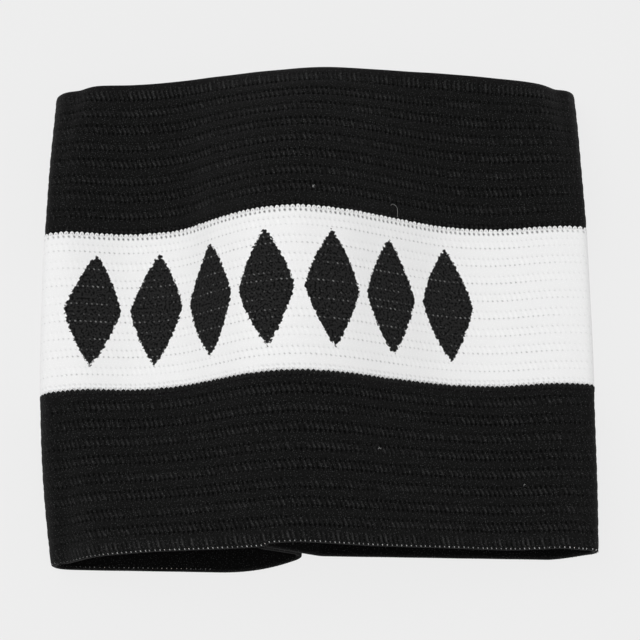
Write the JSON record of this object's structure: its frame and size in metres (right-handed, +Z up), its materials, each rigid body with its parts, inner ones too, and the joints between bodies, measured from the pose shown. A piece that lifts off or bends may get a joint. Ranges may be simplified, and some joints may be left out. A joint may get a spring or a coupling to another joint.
{
  "type": "captain armband",
  "caption": "Wide striped armband of ribbed knitted elastic, sewn to a tube and lying on its back, black with a white centre stripe.",
  "frame": {"origin": "on the ground under the middle of the armband's box, the armband lying on its back wall", "axes": "+Y along the tube, from its bottom edge to its top edge; +Z up, through the front wall that carries the print; +X across the band, to the right as the front is read"},
  "size_m": [0.1128, 0.1024, 0.0307],
  "materials": {
    "black_knit": "matt ribbed knitted elastic",
    "white_knit": "matt ribbed knitted elastic"
  },
  "bodies": {
    "root": {"lower_stripe": "black_knit", "centre_stripe": "white_knit", "upper_stripe": "black_knit"}
  },
  "joints": []
}
